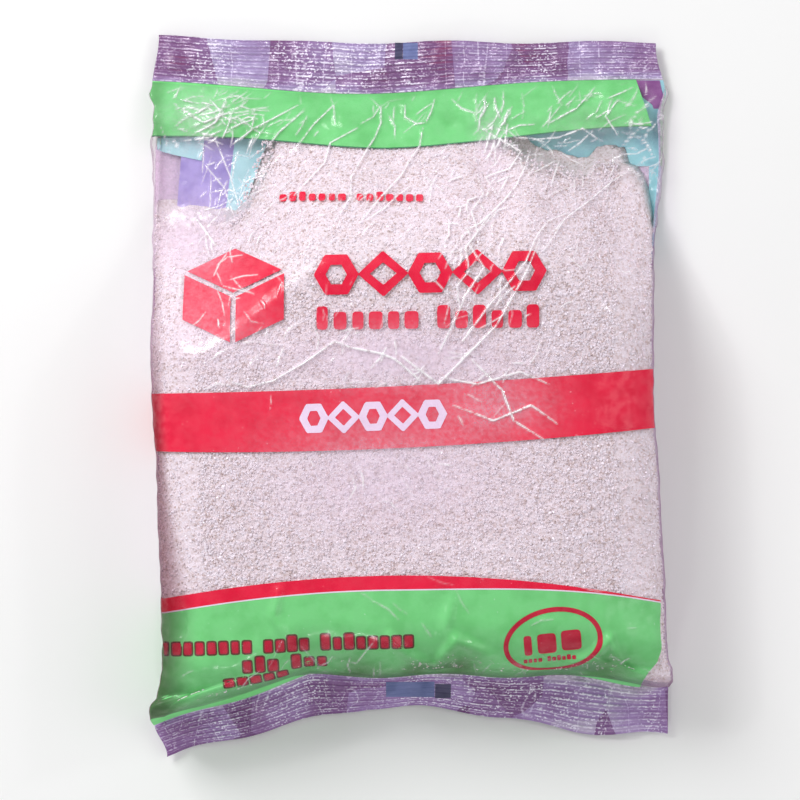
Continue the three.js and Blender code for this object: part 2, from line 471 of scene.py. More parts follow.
def place_for(x, y, depth=0.0):
    """The section place t whose point lies at x, found by halving."""
    side = np.sign(x)
    near = np.zeros_like(x)
    far = np.full_like(x, LAST_PLACE)
    for _ in range(14):
        half = (near + far) / 2
        short = np.abs(front_x(side * half, y, depth)) < np.abs(x)
        near = np.where(short, half, near)
        far = np.where(short, far, half)
    return side * (near + far) / 2


# ---- meshes
def even_grid(columns, rows, across=(-1, 1), up=(0, 1)):
    """Each place's share of the way across and up, as two arrays of rows and columns."""
    return np.meshgrid(np.linspace(*across, columns), np.linspace(*up, rows))


def grid_faces(rows, columns):
    start = np.arange(rows - 1)[:, None] * columns + np.arange(columns - 1)[None, :]
    start = start.ravel()
    return np.stack([start, start + 1, start + columns + 1, start + columns], axis=1)


def corner(side, line, x):
    """Where one of the end lines meets the bag's side."""
    for _ in range(8):
        x = side * half_width(side, line(x))
    return x


def raw_extent():
    """The CAD form's left, right, lowest and highest places in the axes used here."""
    start = RIGHT_HALF_WIDTH
    low_x = np.linspace(corner(-1, bottom_edge, -start), corner(1, bottom_edge, start), 400)
    high_x = np.linspace(corner(-1, top_edge, -start), corner(1, top_edge, start), 400)
    low_y, high_y = bottom_edge(low_x).min(), top_edge(high_x).max()
    y = np.linspace(low_y, high_y, 400)
    return -half_width(-1, y).max(), half_width(1, y).max(), low_y, high_y


LEFT, RIGHT, LOW_Y, HIGH_Y = raw_extent()
SHIFT = np.array([
    (cad_low.x + cad_high.x) / 2 / MM - (LEFT + RIGHT) / 2,
    (cad_low.y + cad_high.y) / 2 / MM - (LOW_Y + HIGH_Y) / 2,
    cad_low.z / MM,
])


def add_object(name, data, place=(0.0, 0.0, 0.0)):
    made = bpy.data.objects.new(name, data)
    made.location = place
    bpy.context.scene.collection.objects.link(made)
    return made


def add_piece(name, points, faces, material, smooth=True, values=None, normals=None):
    """Makes a piece from points in millimetres and faces with the same number of corners each."""
    points = np.asarray(points, dtype=float).reshape(-1, 3) + SHIFT
    faces = np.asarray(faces, dtype=np.int32)
    mesh = bpy.data.meshes.new(name)
    mesh.vertices.add(len(points))
    mesh.vertices.foreach_set("co", (points * MM).ravel())
    mesh.loops.add(faces.size)
    mesh.loops.foreach_set("vertex_index", faces.ravel())
    mesh.polygons.add(len(faces))
    mesh.polygons.foreach_set("loop_start", np.arange(0, faces.size, faces.shape[1], dtype=np.int32))
    mesh.polygons.foreach_set("use_smooth", np.full(len(faces), smooth))
    mesh.update(calc_edges=True)
    for key, numbers in (values or {}).items():
        layer = mesh.attributes.new(key, "FLOAT", "POINT")
        layer.data.foreach_set("value", np.asarray(numbers, dtype=np.float32).ravel())
    if normals is not None:
        mesh.normals_split_custom_set_from_vertices(np.asarray(normals).reshape(-1, 3))
    mesh.materials.append(material)
    piece = add_object(name, mesh)
    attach(piece, "root")
    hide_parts("sugar_bag")


# ---- materials
EVEN_GLINT_CROWD = 0.3          # how crowded the painted glints are outside a seal's glint patches


class Graph:
    """A new material's or world's nodes. An input that is a socket is linked, any other is set."""

    def __init__(self, owner, coordinates="Object"):
        self.owner = owner
        owner.use_nodes = True
        self.tree = owner.node_tree
        self.tree.nodes.clear()
        self.place = self.add("ShaderNodeTexCoord").outputs[coordinates]

    def add(self, kind, inputs=None, **settings):
        node = self.tree.nodes.new(kind)
        for key, value in settings.items():
            setattr(node, key, value)
        for key, value in (inputs or {}).items():
            socket = node.inputs[key]
            if isinstance(value, bpy.types.NodeSocket):
                self.tree.links.new(value, socket)
            else:
                socket.default_value = value
        return node

    def maths(self, operation, *values, clamp=False):
        inputs = dict(enumerate(values))
        return self.add("ShaderNodeMath", inputs, operation=operation, use_clamp=clamp).outputs[0]

    def times(self, first, second, clamp=False):
        return self.maths("MULTIPLY", first, second, clamp=clamp)

    def total(self, first, *others, clamp=False):
        """The sum, kept between 0 and 1 if clamp is set."""
        for other in others[:-1]:
            first = self.maths("ADD", first, other)
        return self.maths("ADD", first, others[-1], clamp=clamp)

    def attribute(self, name):
        return self.add("ShaderNodeAttribute", attribute_name=name).outputs["Fac"]

    def stretched(self, scale, turn=0.0):
        inputs = {"Vector": self.place, "Rotation": (0.0, 0.0, turn), "Scale": scale}
        return self.add("ShaderNodeMapping", inputs).outputs[0]

    def noise(self, size_mm, detail, rough=0.5, stretch=None):
        place = self.stretched(stretch) if stretch else self.place
        inputs = {"Vector": place, "Scale": 1 / (size_mm * MM), "Detail": detail, "Roughness": rough}
        return self.add("ShaderNodeTexNoise", inputs).outputs["Fac"]

    def cells(self, size_mm, channel, place=None):
        """Cells of about this size: the distance from a cell's middle, and a random value a cell."""
        inputs = {"Vector": place or self.place, "Scale": 1 / (size_mm * MM)}
        cells = self.add("ShaderNodeTexVoronoi", inputs)
        split = self.add("ShaderNodeSeparateColor", {"Color": cells.outputs["Color"]})
        return cells.outputs["Distance"], split.outputs[channel]

    def between(self, value, low, high, to_low=0.0, to_high=1.0):
        inputs = {"Value": value, "From Min": low, "From Max": high, "To Min": to_low, "To Max": to_high}
        return self.add("ShaderNodeMapRange", inputs).outputs[0]

    def colours(self, value, *stops):
        node = self.add("ShaderNodeValToRGB", {"Fac": value})
        points = node.color_ramp.elements
        while len(points) < len(stops):
            points.new(1.0)
        for point, (where, colour) in zip(points, stops):
            point.position = where
            point.color = (*colour, 1.0)
        return node.outputs["Color"]

    def bump(self, height, distance_mm, strength, normal=None):
        inputs = {"Height": height, "Distance": distance_mm * MM, "Strength": strength}
        if normal is not None:
            inputs["Normal"] = normal
        return self.add("ShaderNodeBump", inputs).outputs["Normal"]

    def tinted(self, share, first, second):
        """A mix of two colours. The node has its colour inputs at 6 and 7, and its output at 2."""
        node = self.add("ShaderNodeMix", {0: share, 6: first, 7: second}, data_type="RGBA")
        return node.outputs[2]

    def shader(self, kind, inputs):
        return self.add("ShaderNodeBsdf" + kind, inputs).outputs[0]

    def blend(self, share, first, second):
        return self.add("ShaderNodeMixShader", {0: share, 1: first, 2: second}).outputs[0]

    def facing(self, normal):
        """0 where the surface faces the eye or the light, and 1 where it is seen edge-on."""
        return self.add("ShaderNodeLayerWeight", {"Blend": 0.5, "Normal": normal}).outputs["Facing"]

    def mirrored(self, normal, strength):
        """The share of light that film mirrors: little head-on, more at a glance, from both sides."""
        glance = self.maths("POWER", self.facing(normal), 5.0)
        return self.times(self.total(self.times(glance, 0.28), 0.05), strength, clamp=True)

    def close(self, surface, output="ShaderNodeOutputMaterial"):
        self.add(output, {"Surface": surface})
        return self.owner

    def close_solid(self, colour, roughness, shine, normal):
        inputs = {"Base Color": colour, "Roughness": roughness}
        inputs.update({"Specular IOR Level": shine, "Normal": normal})
        return self.close(self.shader("Principled", inputs))


def paler(colour, share):
    return tuple(mix(channel, 1.0, share) for channel in colour)


def clear_film(name, tint, haze, shine):
    """Thin clear film: tinted where light goes through, a little milky, with painted sheen, a painted
    highlight on its whitened creases, and painted shade at the left fold and the foot.
    """
    g = Graph(bpy.data.materials.new(name))
    crease = g.attribute("crease")
    fine = g.noise(1.6, 3.0, 0.6)
    broad = g.noise(9.0, 2.0)
    bump = g.bump(broad, 0.5, 0.6, g.bump(fine, 0.05, 0.8))
    edge_on = g.maths("POWER", g.facing(bump), 4.0)
    colour = g.tinted(edge_on, (*tint, 1.0), (0.56, 0.34, 0.54, 1.0))
    # Painted shade: the fold values darken the film along the left fold and above the bottom seal.
    colour = g.tinted(g.attribute("fold"), colour, (0.55, 0.42, 0.46, 1.0))
    clear = g.shader("Transparent", {"Color": colour})
    # Painted highlight: the creases are whitened, partly as the film's stress whitening and partly in place
    # of the light they catch.
    crease_white_and_highlight = g.times(crease, g.between(fine, 0.28, 0.52))
    milk_and_painted_light_colour = g.colours(crease_white_and_highlight, (0.0, (1.0, 0.82, 1.0)), (0.35, (0.99, 0.96, 1.0)))
    milk_and_painted_light = g.shader("Diffuse", {"Color": milk_and_painted_light_colour, "Normal": bump})
    cloudy = g.between(broad, 0.3, 0.75, 0.4 * haze, 1.6 * haze)
    # Milky patches from the veil values: haze, and on the front film a painted sheen.
    haze_and_painted_sheen = g.times(g.attribute("veil"), g.between(fine, 0.35, 0.65, 0.6, 1.3))
    body = g.blend(g.total(cloudy, haze_and_painted_sheen, g.times(crease_white_and_highlight, 0.9), clamp=True), clear, milk_and_painted_light)
    uneven = g.between(broad, 0.3, 0.7, -0.02, 0.04)
    rough = g.total(uneven, g.between(crease, 0.02, 0.3, 0.17, 0.06))
    gloss_colour = (1.0, 0.97, 1.0, 1.0)
    gloss = g.shader("Glossy", {"Color": gloss_colour, "Roughness": rough, "Normal": bump})
    patched = g.total(g.between(g.noise(3.5, 2.0), 0.40, 0.62, 0.15, 0.9), crease)
    return g.close(g.blend(g.times(g.mirrored(bump, shine), patched), body, gloss))


def ink(name, colour, dark, shine=0.3):
    """Print on the inside of the film: nearly even colour, mottled, with a few pale pinholes."""
    g = Graph(bpy.data.materials.new(name))
    mottle = g.noise(7.0, 3.0)
    speck = g.noise(0.8, 1.0)
    pinholes = g.between(speck, 0.74, 0.8, 0.0, 0.6)
    shade = g.colours(
        g.total(g.between(mottle, 0.25, 0.75, 0.0, 0.8), pinholes, clamp=True),
        (0.1, dark), (0.5, colour), (0.85, colour), (1.0, paler(colour, 0.35)),
    )
    rough = g.between(mottle, 0.3, 0.7, 0.4, 0.55)
    return g.close_solid(shade, rough, shine, g.bump(speck, 0.04, 0.4))


def seal_film(name, deep, mid, light, see_through, shine):
    """Crimped film, fused into a plum, half clear strip: rib lines with painted rib shade, patches, and
    painted white glints and sparkles.
    """
    g = Graph(bpy.data.materials.new(name))
    rib = g.attribute("rib")
    glint_crowd = g.attribute("glint_crowd")
    fine = g.noise(0.6, 2.0, 0.6)
    dash = g.noise(0.9, 2.0, stretch=(0.7, 1.5, 1.0))
    patch = g.noise(13.0, 2.0)
    # The strip's colour: slanted fields, paler near the body, with painted light and shade across the ribs
    # and a painted sheen that lightens the glint patches.
    _, facet = g.cells(16.0, "Green", g.stretched((1.0, 0.45, 1.0), 0.35))
    field = g.total(g.times(facet, 0.5), g.times(patch, 0.5))
    near_root = g.between(g.attribute("share"), 0.22, 0.02, 0.0, 0.3)
    painted_sheen_lift = g.times(g.maths("SUBTRACT", glint_crowd, EVEN_GLINT_CROWD), 0.15)
    maroon = (deep[0] * 1.5, deep[1] * 0.7, deep[2] * 0.7)
    mauve = g.colours(
        g.total(field, near_root, g.times(rib, 0.055), painted_sheen_lift),
        (0.16, maroon), (0.30, deep), (0.55, mid), (0.80, light), (1.0, paler(light, 0.4)),
    )
    # Painted glints in white: broken lines on the ribs' crests, sparkling dots, and a few upright lines,
    # crowded in the glint patches.
    crowd = g.noise(8.0, 1.0, stretch=(1.0, 0.4, 1.0))
    crowded = g.times(g.between(crowd, 0.36, 0.52, 0.15, 1.0), glint_crowd, clamp=True)
    crest = g.times(g.between(rib, 0.10, 0.70), g.between(dash, 0.47, 0.55))
    distance, picked = g.cells(0.9, "Blue")
    dots = g.times(g.between(distance, 0.42, 0.26), g.between(picked, 0.50, 0.56))
    sparkle_dots = g.times(dots, g.between(fine, 0.40, 0.50))
    upright = g.noise(9.0, 0.0, stretch=(1.0, 0.07, 1.0))
    contour = g.maths("ABSOLUTE", g.maths("SUBTRACT", upright, 0.5))
    lines = g.times(g.between(contour, 0.012, 0.0), g.between(dash, 0.40, 0.55))
    marks = g.times(g.total(crest, sparkle_dots), crowded)
    painted_white = g.total(marks, g.times(lines, 0.55), g.times(crest, 0.12), clamp=True)
    plain = g.shader("Diffuse", {"Color": mauve})
    painted_glints = g.blend(painted_white, plain, g.shader("Diffuse", {"Color": (0.90, 0.84, 0.99, 1.0)}))
    clear = g.shader("Transparent", {"Color": (0.60, 0.42, 0.62, 1.0)})
    opaque = g.between(patch, 0.3, 0.7, 1 - see_through, 0.95 - 0.5 * see_through)
    body = g.blend(g.total(opaque, painted_white, clamp=True), clear, painted_glints)
    bump = g.bump(fine, 0.2, 0.9)
    rough = g.between(patch, 0.3, 0.7, 0.06, 0.16)
    gloss_colour = (1.0, 0.96, 1.0, 1.0)
    gloss = g.shader("Glossy", {"Color": gloss_colour, "Roughness": rough, "Normal": bump})
    return g.close(g.blend(g.mirrored(bump, shine), body, gloss))


def sugar_core(name):
    """Packed raw sugar: crystals of slightly different colours, each with its own facet, greyed by painted
    shade towards the sugar's upper end.
    """
    g = Graph(bpy.data.materials.new(name))
    distance, tone = g.cells(0.6, "Red")
    both = g.total(g.times(tone, 0.72), g.times(g.noise(22.0, 3.0), 0.28))
    bright = g.colours(
        both, (0.10, (0.60, 0.47, 0.42)), (0.26, (0.84, 0.75, 0.73)),
        (0.6, (0.93, 0.86, 0.87)), (0.9, (0.98, 0.94, 0.96)),
    )
    painted_shade_colour = g.colours(both, (0.1, (0.55, 0.52, 0.47)), (0.9, (0.82, 0.79, 0.74)))
    # Painted shade: the shade values grey the sugar towards its upper end.
    colour = g.tinted(g.times(g.attribute("shade"), 0.4, clamp=True), bright, painted_shade_colour)
    return g.close_solid(colour, 0.5, 0.4, g.bump(distance, 0.3, 0.6))


def crystal(name, low, high, roughness):
    """Loose crystals: each takes its own tone from the piece's tone values."""
    g = Graph(bpy.data.materials.new(name))
    veil = g.noise(0.3, 2.0)
    mixed = g.total(g.times(g.attribute("tone"), 0.8), g.times(veil, 0.2))
    colour = g.colours(mixed, (0.1, low), (0.9, high))
    return g.close_solid(colour, roughness, 0.5, g.bump(veil, 0.05, 0.4))


def pale_floor():
    g = Graph(bpy.data.materials.new("pale_floor"))
    colour = g.colours(g.noise(400.0, 2.0), (0.3, (0.90, 0.90, 0.90)), (0.7, (0.93, 0.93, 0.93)))
    return g.close(g.shader("Principled", {"Base Color": colour, "Roughness": 0.9}))


FILM = clear_film("clear_film", (0.955, 0.925, 0.965), 0.006, 0.85)
BACK_FILM = clear_film("back_film", (0.93, 0.89, 0.95), 0.04, 0.8)
# The two seals are one film: the bottom seal's copy is darker, painted shade on the same film.
SEAL_LIT = seal_film(
    "seal_film_lit", (0.24, 0.09, 0.27), (0.34, 0.18, 0.42), (0.48, 0.37, 0.68), 0.35, 1.6)
SEAL_SHADED = seal_film(
    "seal_film_shaded", (0.18, 0.060, 0.22), (0.28, 0.125, 0.35), (0.43, 0.27, 0.60), 0.15, 1.0)
GREEN = ink("green_print", (0.21, 0.78, 0.25), (0.17, 0.68, 0.20), 0.15)
DEEP_GREEN = ink("green_edge_print", (0.07, 0.30, 0.14), (0.05, 0.22, 0.10), 0.15)
RED = ink("red_print", (0.90, 0.010, 0.055), (0.80, 0.008, 0.045), 0.15)
DEEP_RED = ink("deep_red_print", (0.62, 0.018, 0.050), (0.50, 0.014, 0.040), 0.15)
WHITE = ink("white_print", (0.97, 0.84, 0.97), (0.92, 0.78, 0.92))
DARK = ink("dark_print", (0.16, 0.05, 0.03), (0.11, 0.04, 0.02))
BLUE = ink("blue_print", (0.17, 0.20, 0.42), (0.10, 0.13, 0.30))
SLATE = ink("slate_print", (0.08, 0.07, 0.15), (0.05, 0.05, 0.10))
TEAL = ink("teal_inside_of_print", (0.38, 0.78, 0.80), (0.28, 0.60, 0.66))
# Painted light: a paler copy of the same teal, lightened for the light that reaches the back's print
# through the film from behind.
LIT_TEAL = ink("lit_teal_inside_of_print", (0.60, 0.98, 0.98), (0.44, 0.82, 0.86))
PURPLE = ink("purple_inside_of_print", (0.54, 0.47, 0.86), (0.38, 0.32, 0.68))
PLUM = ink("plum_inside_of_print", (0.36, 0.15, 0.38), (0.24, 0.08, 0.26))
CORE = sugar_core("packed_sugar")
CRYSTALS = (
    ("pale_crystals", crystal("pale_crystal", (0.84, 0.76, 0.75), (0.97, 0.92, 0.93), 0.4), 16000),
    ("amber_crystals", crystal("amber_crystal", (0.64, 0.53, 0.48), (0.86, 0.78, 0.74), 0.4), 6000),
    ("bright_crystals", crystal("bright_crystal", (0.93, 0.89, 0.91), (1.0, 0.98, 1.0), 0.2), 16000),
)

# ---- film pieces
FRONT_COLUMNS = 470
FRONT_ROWS = 560
# The front film's pieces: (name, first row, row after the last). Neighbours share a row.
FRONT_PARTS = (
    ("film_front_foot", 0, 180),
    ("film_front_middle", 179, 370),
    ("film_front_head", 369, FRONT_ROWS),
)
BACK_COLUMNS = 120
BACK_ROWS = 250
FIRST_ROWS = 1.0         # length over which the film's rows crowd above the bottom root


def row_shares(count):
    """Row places from the bottom root (0) to the top root (1), closer together in the upper half."""
    t = np.linspace(0, 1, count)
    return t + 0.10 * np.sin(np.pi * t) ** 2 * (1 - t * 0.3) + 0.02 * np.sin(2 * np.pi * t)


def body_grid(columns, rows):
    """Section places and heights over the whole filled body, from seal to seal."""
    t, share = np.meshgrid(np.linspace(-1, 1, columns), row_shares(rows))
    x = t * RIGHT_HALF_WIDTH
    # Rows crowd just above the bottom root, where the foot rises steeply.
    height = (top_root(x) - bottom_root(x)) * share
    return t, bottom_root(x) + height**2 / (height + FIRST_ROWS * (1 - share))


def grid_normals(points):
    along = np.gradient(points, axis=0)
    across = np.gradient(points, axis=1)
    normal = np.cross(across, along)
    return normal / np.maximum(np.linalg.norm(normal, axis=-1, keepdims=True), TINY)


def make_front_film():
    """The front film, as three pieces that meet edge to edge and share their normals there."""
    t, y = body_grid(FRONT_COLUMNS, FRONT_ROWS)
    points, sharp = front_point(t, y, 0.0)
    normals = grid_normals(points)
    for name, first, last in FRONT_PARTS:
        rows = slice(first, last)
        faces = grid_faces(last - first, FRONT_COLUMNS)
        x, y = points[rows, :, 0], points[rows, :, 1]
        # The veil values add milky film with painted sheen, the fold values painted shade.
        values = {"crease": sharp[rows], "veil": patches(x, y, MILK_AND_SHEEN_PATCHES), "fold": painted_fold_shade(x, y)}
        add_piece(name, points[rows], faces, FILM, values=values, normals=normals[rows])


def make_back_film():
    t, y = body_grid(BACK_COLUMNS, BACK_ROWS)
    faces = grid_faces(BACK_ROWS, BACK_COLUMNS)[:, ::-1]
    values = {"crease": np.zeros(t.shape), "veil": 0.4 * ramp((y - 45) / 25)}
    add_piece("film_back", back_point(t, y, 0.0), faces, BACK_FILM, values=values)


# ---- seals
SEAL_COLUMNS = 420
SEAL_ROWS = 112
SEAL_LENGTH = 14.0
RIB_HEIGHT = 0.15
LOWEST_FILM = 0.05       # the seals' undersides stay this far above the floor

# Each seal's free edge, root, height and seed.
TOP_SEAL = (top_edge, top_root, top_seal_height, 3)
BOTTOM_SEAL = (bottom_edge, bottom_root, bottom_seal_height, 11)
# Patches on the seals where painted glints crowd and a painted sheen lightens the strip: (x, half width).
TOP_GLINT_PATCHES = ((-28, 14), (-30, 14), (-4, 6), (-68, 6), (54, 14))
BOTTOM_GLINT_PATCHES = ((-62, 5), (-38, 9), (10, 16), (42, 16), (60, 12), (76, 9))


def seal_middle(x, share, height, seed):
    """The middle plane of a crimped seal, ribs and crumples with it, and the rib's own phase."""
    wobble = 0.12 * np.sin(x / 9 + seed) + 0.05 * np.sin(x / 3.1)
    turn = 2 * math.pi * (share * SEAL_LENGTH + wobble) / RIB_PITCH
    rib = 0.55 * np.sin(turn) + 0.6 * np.sin(2 * turn + 0.7)
    strength = RIB_HEIGHT * ramp(share / 0.05) * (0.75 + 0.25 * np.sin(x / 6.7 + seed))
    crumple = folds(x, share * SEAL_LENGTH, SEED + seed, 8, 4, 13, 1.3) - 1.0
    return height(x, share) + strength * rib + crumple * ramp(share / 0.12), rib


def make_seal(name, edge, root, height, seed, glint_crowd, upwards, material):
    """One seal: two skins with ribs, closed round their rim."""
    t, share = even_grid(SEAL_COLUMNS, SEAL_ROWS)
    x = t * RIGHT_HALF_WIDTH
    for _ in range(2):
        y = mix(root(x), edge(x), share)
        x = t * half_width(np.sign(t), y)
    middle, rib = seal_middle(x, share, height, seed)
    under = np.maximum(middle - FILM_THICKNESS / 2, LOWEST_FILM)
    top = under + FILM_THICKNESS
    faces = grid_faces(SEAL_ROWS, SEAL_COLUMNS)
    count = SEAL_ROWS * SEAL_COLUMNS
    index = np.arange(count).reshape(SEAL_ROWS, SEAL_COLUMNS)
    ring = np.concatenate([index[0, :-1], index[:-1, -1], index[-1, :0:-1], index[:0:-1, 0]])
    after = np.roll(ring, -1)
    rim = np.stack([after, ring, ring + count, after + count], axis=1)
    faces = np.concatenate([faces, faces[:, ::-1] + count, rim])
    if not upwards:
        faces = faces[:, ::-1]
    points = np.concatenate([np.stack([x, y, z], axis=-1).reshape(-1, 3) for z in (top, under)])
    # How crowded the painted glints are across the seal.
    painted_glints = EVEN_GLINT_CROWD + sum(bell(x, middle_x, wide) for middle_x, wide in glint_crowd)
    grids = {"rib": rib, "share": share, "glint_crowd": painted_glints}
    values = {key: np.tile(grid.ravel(), 2) for key, grid in grids.items()}
    add_piece(name, points, faces, material, values=values)


# ---- print
FIELD_STEP = 0.75        # the meshes' spacing in the fields of colour
SHAPE_STEP = 0.6         # and in the small shapes
RING_STEP = 0.5          # along a ring
MARK_STEP = 0.2          # in the seals' registration marks, which follow the ribs
SEAL_CLEARANCE = 3.0     # small print stays this far above the bottom seal, where the film is steep


def raised(line, height):
    """The same line across the bag, this much higher up."""
    return lambda x: line(x) + height


def green_top_line(x):
    return 87.8 - 4.4 * bell(x, -10, 36) + 3.2 * ramp((x - 20) / 60)


def band_top_line(x):
    return 3.5 + 0.051 * x + 0.00023 * x**2


def band_bottom_line(x):
    return -16.8 + 0.049 * x + 0.00038 * x**2


def swoosh_top_line(x):
    return -58.7 - 0.00125 * (x + 1) ** 2


def swoosh_bottom_line(x):
    return swoosh_top_line(x) - 0.4 - 4.1 * (1 - ramp((x + 5) / 85))


def field_top_line(x):
    return swoosh_bottom_line(x) - 0.45


def top_print_end(y):
    return 75.7 + 0.31 * (107.7 - y)


def lower_print_end(y):
    return PRINT_RIGHT_END - 5.3 * ramp((-84 - y) / 12)


def straight_end(y):
    return PRINT_RIGHT_END + np.zeros_like(y)


def add_field(name, low_line, high_line, end, depth, material):
    """A field of colour from the left fold to the print's right end, between two lines."""
    low, high = low_line(0.0), high_line(0.0)
    around = 220             # a generous length from fold to fold over the front
    columns = int(around / FIELD_STEP)
    rows = max(3, int((high - low) * 1.3 / FIELD_STEP))
    share, up = even_grid(columns, rows, (0, 1))
    y = np.full(share.shape, (low + high) / 2)
    for _ in range(6):
        last_y = y[:, -1:]
        t = mix(-1.0, place_for(end(last_y), last_y, depth), share)
        x = front_x(t, y, depth)
        y = mix(low_line(x), high_line(x), up)
    points, _ = front_point(t, y, depth)
    add_piece("print_" + name, points, grid_faces(rows, columns), material)


def make_fields():
    under = INK_DEPTH + 2 * INK_STEP
    lowest = under + INK_STEP
    head_low, head_high = raised(green_top_line, -0.35), raised(green_top_line, 0.6)
    pale_low, pale_high = raised(field_top_line, -0.6), raised(swoosh_bottom_line, 0.3)
    fields = (
        ("green_head", green_top_line, raised(top_root, -0.1), top_print_end, under, GREEN),
        ("head_edge", head_low, head_high, top_print_end, lowest, DEEP_GREEN),
        ("red_band", band_bottom_line, band_top_line, straight_end, under, RED),
        ("red_arc", swoosh_bottom_line, swoosh_top_line, straight_end, under, RED),
        ("pale_line", pale_low, pale_high, straight_end, lowest, WHITE),
        ("green_foot", raised(bottom_root, 0.1), field_top_line, lower_print_end, under, GREEN),
    )
    for field in fields:
        add_field(*field)


def blob_grid(half_x, half_y, exponent):
    """A filled superellipse as a grid of places round 0, 0: a rounded box, or an ellipse."""
    columns = max(5, int(2 * half_x / SHAPE_STEP))
    rows = max(5, int(2 * half_y / SHAPE_STEP))
    across, up = even_grid(columns, rows, up=(-1, 1))
    reach = np.maximum(np.abs(across), np.abs(up))
    size = (np.abs(across) ** exponent + np.abs(up) ** exponent) ** (1 / exponent)
    scale = np.where(reach > 0, reach / np.maximum(size, TINY), 0)
    return across * scale * half_x, up * scale * half_y, grid_faces(rows, columns)


def quad_grid(corners, step=SHAPE_STEP):
    """A flat four-sided shape as a grid of places, from its corners in order."""
    a, b, c, d = (np.array(corner, dtype=float) for corner in corners)
    columns = max(4, int(np.hypot(*(b - a)) / step))
    rows = max(4, int(np.hypot(*(d - a)) / step))
    across, up = (grid[..., None] for grid in even_grid(columns, rows, (0, 1)))
    places = mix(mix(a, b, across), mix(d, c, across), up)
    return places[..., 0], places[..., 1], grid_faces(rows, columns)


def ring_grid(half_x, half_y, stroke, sides=0):
    """An oval ring, or a ring with this many straight sides."""
    columns = int(2 * math.pi * half_x / RING_STEP)
    rows = 5
    angle, grow = even_grid(columns, rows, (0, 2 * math.pi), (-stroke / 2, stroke / 2))
    reach = np.ones_like(angle)
    if sides:
        part = math.pi / sides
        reach = math.cos(part) / np.cos(np.mod(angle, 2 * part) - part)
    x = reach * (half_x + grow) * np.cos(angle)
    y = reach * (half_y + grow) * np.sin(angle)
    return x, y, grid_faces(rows, columns)[:, ::-1]


def turned(grid, angle, x, y):
    """The grid turned by an angle and moved to its place on the bag's front."""
    across, up, faces = grid
    c, s = math.cos(angle), math.sin(angle)
    return x + c * across - s * up, y + s * across + c * up, faces


def add_shapes(name, grids, depth, material):
    """Several small flat shapes as one piece of print, laid just inside the front film."""
    points = []
    faces = []
    count = 0
    for x, y, grid in grids:
        x, y = x.ravel(), y.ravel()
        y = bottom_root(x) + np.hypot(y - bottom_root(x), SEAL_CLEARANCE)
        points.append(front_point(place_for(x, y), y, depth)[0])
        faces.append(grid + count)
        count += len(x)
    points, faces = np.concatenate(points), np.concatenate(faces)
    add_piece("print_" + name, points, faces, material)


def tile_row(x, y, counts, pitch, height, angle, seed):
    """Small plain tiles of uneven height in groups, where the real print has a line of words."""
    rng = np.random.default_rng(seed)
    made = []
    along = 0.0
    for count in counts:
        for _ in range(count):
            width = pitch * rng.uniform(0.62, 0.80)
            tall = height * rng.choice((1.0, 1.0, 1.32))
            middle = along + pitch / 2
            lift = (tall - height) / 2
            px = x + middle * math.cos(angle) - lift * math.sin(angle)
            py = y + middle * math.sin(angle) + lift * math.cos(angle)
            made.append((px, py, angle, width, tall))
            along += pitch
        along += 0.8 * pitch
    return made


def crystal_row(x, y, count, pitch, half_x, half_y, stroke, angle):
    """Plain six-sided and four-sided outlines in turn, where the real print has a big word."""
    made = []
    for number in range(count):
        px = x + number * pitch * math.cos(angle)
        py = y + number * pitch * math.sin(angle)
        sides = (6, 4)[number % 2]
        wide = half_x * (1.0, 1.12)[number % 2]
        grid = ring_grid(wide - stroke / 2, half_y - stroke / 2, stroke, sides)
        made.append(turned(grid, angle, px, py))
    return made


def bar_grids(bars, margin=0.0, exponent=6.0):
    made = []
    for px, py, tilt, length, height in bars:
        grid = blob_grid(length / 2 + margin, height / 2 + margin, exponent)
        made.append(turned(grid, tilt, px, py))
    return made


def cube_grids(x, y, size):
    """A sugar cube seen from above one corner: three faces with a gap between them."""
    made = []
    angles = [math.radians(30 + 60 * number) for number in range(6)]
    corners = [(size * math.cos(angle), size * 0.82 * math.sin(angle)) for angle in angles]
    for first in (0, 2, 4):
        quad = [(0.0, 0.0), corners[first], corners[(first + 1) % 6], corners[(first + 2) % 6]]
        centre = np.mean(quad, axis=0)
        shrunk = [centre + (np.array(corner) - centre) * 0.9 for corner in quad]
        made.append(turned(quad_grid(shrunk), 0.0, x, y))
    return made


